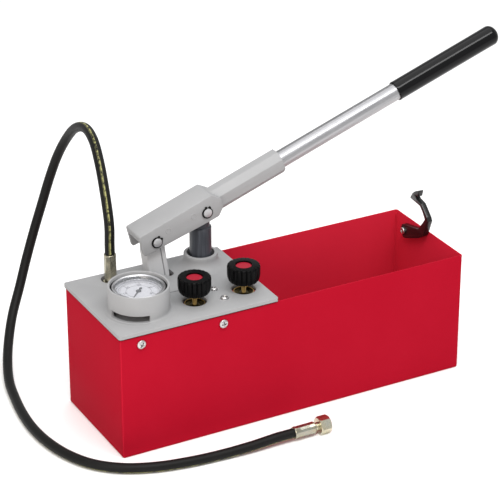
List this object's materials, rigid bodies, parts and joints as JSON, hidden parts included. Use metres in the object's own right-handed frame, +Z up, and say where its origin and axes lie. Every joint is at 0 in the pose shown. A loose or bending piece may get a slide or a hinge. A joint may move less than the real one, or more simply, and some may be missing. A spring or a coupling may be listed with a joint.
{
  "type": "hydrostatic test pump",
  "caption": "Hand-operated pressure test pump: open water tank, cast head with pump, lever, gauge and valves, and a hose with a union nut.",
  "frame": {"origin": "centre of the tank's underside", "axes": "+X along the tank, from the head plate to the open end; +Y from the front wall to the back wall; +Z up"},
  "size_m": [0.7215, 0.4668, 0.4361],
  "materials": {
    "red_paint": "gloss red powder coat",
    "grey_casting": "silver-grey painted casting",
    "polished_aluminium": "polished",
    "black_vinyl": "gloss dipped vinyl",
    "black_plastic": "satin",
    "red_plastic": "satin",
    "slate_piston": "smooth dark coating",
    "brass": "machined",
    "bright_steel": "bright zinc",
    "black_spring_steel": "blackened",
    "yellow_zinc": "yellow zinc plating",
    "black_rubber": "semi-gloss",
    "white_dial": "matt white",
    "clear_glass": "clear"
  },
  "bodies": {
    "tank_unit": {"tank": "red_paint", "head_plate": "grey_casting", "plate_screw_1": "bright_steel", "plate_screw_2": "bright_steel", "wall_screw_front_1": "bright_steel", "wall_screw_front_2": "bright_steel", "wall_screw_back_1": "bright_steel", "wall_screw_back_2": "bright_steel", "pump_cylinder": "brass", "wiper_ring": "black_rubber", "foot_valve": "brass", "suction_strainer": "black_plastic", "link_base_pin": "bright_steel", "gauge_case": "bright_steel", "gauge_bezel": "bright_steel", "gauge_glass": "clear_glass", "gauge_dial": "white_dial", "gauge_movement": "brass", "gauge_stem": "brass", "valve_bonnet_1": "brass", "valve_bonnet_2": "brass", "valve_block": "brass", "pump_pipe": "bright_steel", "hose_pipe": "bright_steel", "hose_fitting": "yellow_zinc", "hose_ferrule_upper": "yellow_zinc", "hose": "black_rubber", "hose_ferrule_lower": "yellow_zinc", "hose_tail": "yellow_zinc", "nut_seal": "black_rubber", "hook_screw": "bright_steel", "hook_nut": "bright_steel"},
    "pump_piston": {"piston": "slate_piston", "piston_seal": "black_rubber"},
    "pump_lever": {"lever_yoke": "grey_casting", "lever_link_pin": "bright_steel", "lever_piston_pin": "bright_steel", "retaining_ring_link_front": "black_spring_steel", "retaining_ring_link_back": "black_spring_steel", "retaining_ring_piston_front": "black_spring_steel", "retaining_ring_piston_back": "black_spring_steel", "handle_tube": "polished_aluminium", "handle_grip": "black_vinyl"},
    "link": {"rocker_link": "grey_casting"},
    "needle": {"gauge_needle": "black_plastic"},
    "knob_left": {"valve_knob_1": "black_plastic", "knob_cap_1": "red_plastic", "valve_spindle_1": "brass"},
    "knob_right": {"valve_knob_2": "black_plastic", "knob_cap_2": "red_plastic", "valve_spindle_2": "brass"},
    "hook": {"handle_hook": "black_plastic"},
    "nut": {"union_nut": "yellow_zinc"}
  },
  "joints": [
    {"name": "piston_slide", "type": "slide", "parent": "tank_unit", "child": "pump_piston", "axis": [0, 0, 1], "range_m": [-0.033, 0.027]},
    {"name": "lever_swing", "type": "hinge", "parent": "pump_piston", "child": "pump_lever", "pos_m": [-0.074, 0.048, 0.2628], "axis": [0, -1, 0], "range_deg": [-25, 20]},
    {"name": "link_rock", "type": "hinge", "parent": "tank_unit", "child": "link", "pos_m": [-0.13667, 0.048, 0.1643], "axis": [0, 1, 0], "range_deg": [-8, 7]},
    {"name": "needle_turn", "type": "hinge", "parent": "tank_unit", "child": "needle", "pos_m": [-0.2025, -0.03, 0.206], "axis": [0, 0, -1], "range_deg": [0, 270]},
    {"name": "valve_turn_left", "type": "hinge", "parent": "tank_unit", "child": "knob_left", "pos_m": [-0.129, -0.042, 0.1903], "axis": [0, 0, 1], "range_deg": [0, 540]},
    {"name": "valve_turn_right", "type": "hinge", "parent": "tank_unit", "child": "knob_right", "pos_m": [-0.0575, -0.042, 0.1903], "axis": [0, 0, 1], "range_deg": [0, 540]},
    {"name": "hook_swing", "type": "hinge", "parent": "tank_unit", "child": "hook", "pos_m": [0.2494, 0.0505, 0.1545], "axis": [-1, 0, 0], "range_deg": [-70, 28]},
    {"name": "union_nut_turn", "type": "hinge", "parent": "tank_unit", "child": "nut", "pos_m": [-0.004, -0.147, 0.011], "axis": [1, 0, 0], "continuous": true}
  ],
  "couplings": [
    {"joint": "piston_slide", "follows": "lever_swing", "m_per_rad": 0.0746},
    {"joint": "link_rock", "follows": "lever_swing", "ratio": 0.3}
  ]
}
